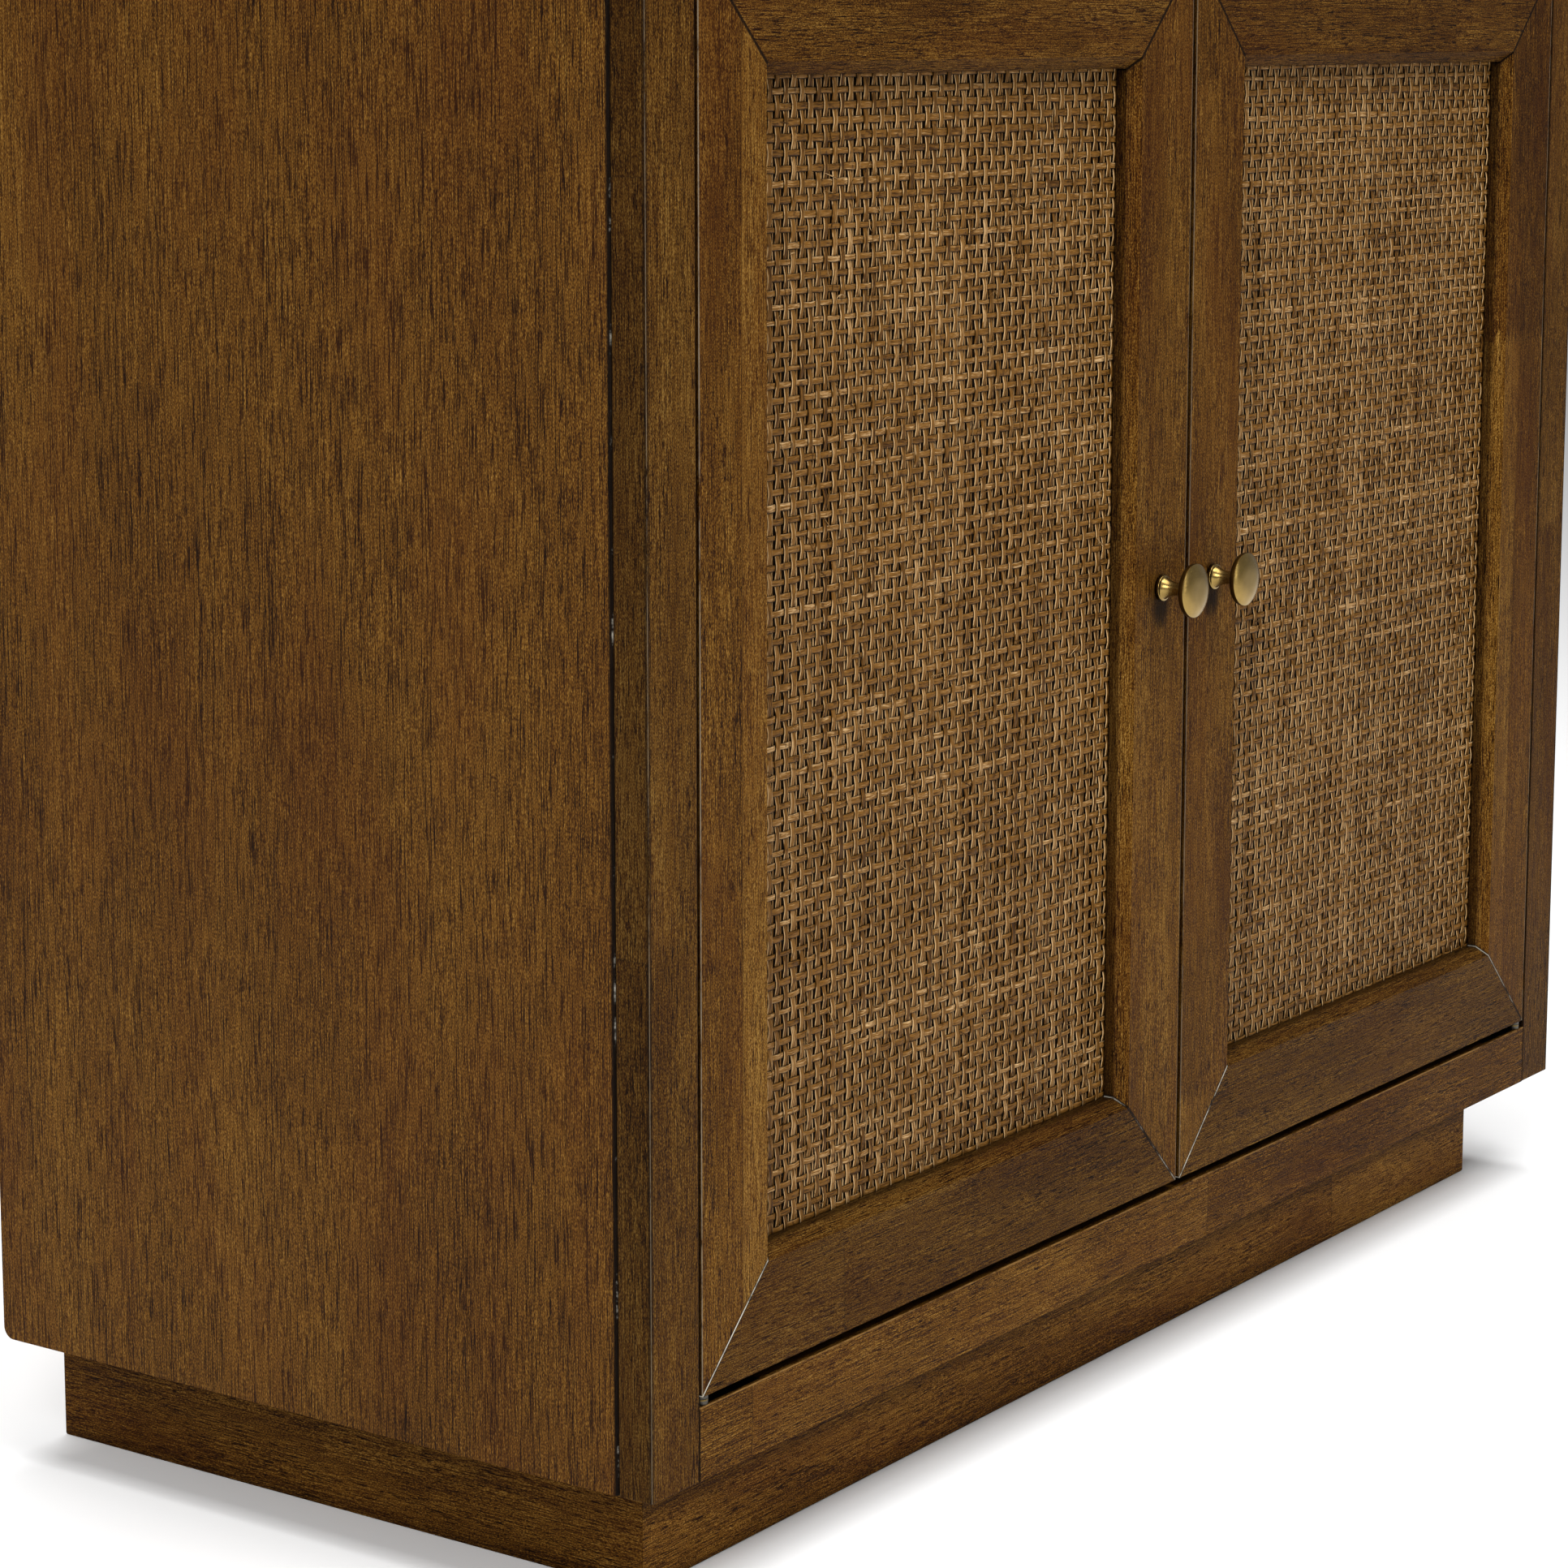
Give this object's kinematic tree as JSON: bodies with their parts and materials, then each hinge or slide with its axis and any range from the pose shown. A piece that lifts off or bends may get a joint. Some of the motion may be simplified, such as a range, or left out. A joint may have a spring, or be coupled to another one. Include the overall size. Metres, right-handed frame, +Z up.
{
  "type": "shoe cabinet",
  "caption": "Wooden shoe cabinet: face frame on a recessed plinth, mitred doors with woven cane panels, round knobs, pin hinges and adjustable shelves.",
  "frame": {"origin": "on the floor, under the middle of the overall width and depth, knobs included", "axes": "+X to the right seen from the front, the doors face -Y, +Z up"},
  "size_m": [0.9, 0.414, 0.78],
  "materials": {
    "veneer": "open-pored oak veneer, walnut stain, satin lacquer",
    "frame_wood": "solid rubberwood, walnut stain, satin lacquer",
    "inner_wood": "stained board, thin satin lacquer",
    "plywood": "thin stained plywood",
    "cane": "flat woven rattan, stained and matt lacquered",
    "backing": "thin dark-stained fibreboard",
    "brass": "satin brushed brass",
    "washer_brass": "plain brass",
    "steel": "zinc-plated steel",
    "catch_plastic": "dark brown moulded plastic",
    "magnet": "bare ferrite"
  },
  "bodies": {
    "cabinet": {"side_panel_left": "veneer", "side_panel_right": "veneer", "face_frame_stile_left": "frame_wood", "face_frame_stile_right": "frame_wood", "face_frame_top_rail": "frame_wood", "face_frame_bottom_rail": "frame_wood", "top_panel": "veneer", "bottom_panel": "inner_wood", "back_panel": "plywood", "back_panel_screws": "steel", "centre_partition": "inner_wood", "shelf_left_lower": "inner_wood", "shelf_left_upper": "inner_wood", "shelf_right_lower": "inner_wood", "shelf_right_upper": "inner_wood", "shelf_pins": "steel", "plinth_front": "frame_wood", "plinth_rear": "frame_wood", "plinth_left": "frame_wood", "plinth_right": "frame_wood", "plinth_corner_blocks": "inner_wood", "frame_leaf_left_bottom": "steel", "frame_leaf_left_top": "steel", "frame_leaf_right_bottom": "steel", "frame_leaf_right_top": "steel", "hinge_pins": "steel", "hinge_washers": "washer_brass", "frame_leaf_screws": "steel", "catch_left": "catch_plastic", "catch_right": "catch_plastic", "catch_magnets": "magnet", "catch_screws": "steel"},
    "door_left": {"door_left_outer_stile": "frame_wood", "door_left_meeting_stile": "frame_wood", "door_left_top_rail": "frame_wood", "door_left_bottom_rail": "frame_wood", "door_left_cane": "cane", "door_left_backing": "backing", "door_left_beads": "inner_wood", "door_left_knob": "brass", "door_left_knob_screw": "steel", "door_left_leaf_bottom": "steel", "door_left_leaf_top": "steel", "door_left_strike": "steel", "door_left_screws": "steel"},
    "door_right": {"door_right_outer_stile": "frame_wood", "door_right_meeting_stile": "frame_wood", "door_right_top_rail": "frame_wood", "door_right_bottom_rail": "frame_wood", "door_right_cane": "cane", "door_right_backing": "backing", "door_right_beads": "inner_wood", "door_right_knob": "brass", "door_right_knob_screw": "steel", "door_right_leaf_bottom": "steel", "door_right_leaf_top": "steel", "door_right_strike": "steel", "door_right_screws": "steel"}
  },
  "joints": [
    {"name": "door_left_swing", "type": "hinge", "parent": "cabinet", "child": "door_left", "pos_m": [-0.4095, -0.181, 0.409], "axis": [0, 0, -1], "range_deg": [0, 105]},
    {"name": "door_right_swing", "type": "hinge", "parent": "cabinet", "child": "door_right", "pos_m": [0.4095, -0.181, 0.409], "axis": [0, 0, 1], "range_deg": [0, 105]}
  ]
}
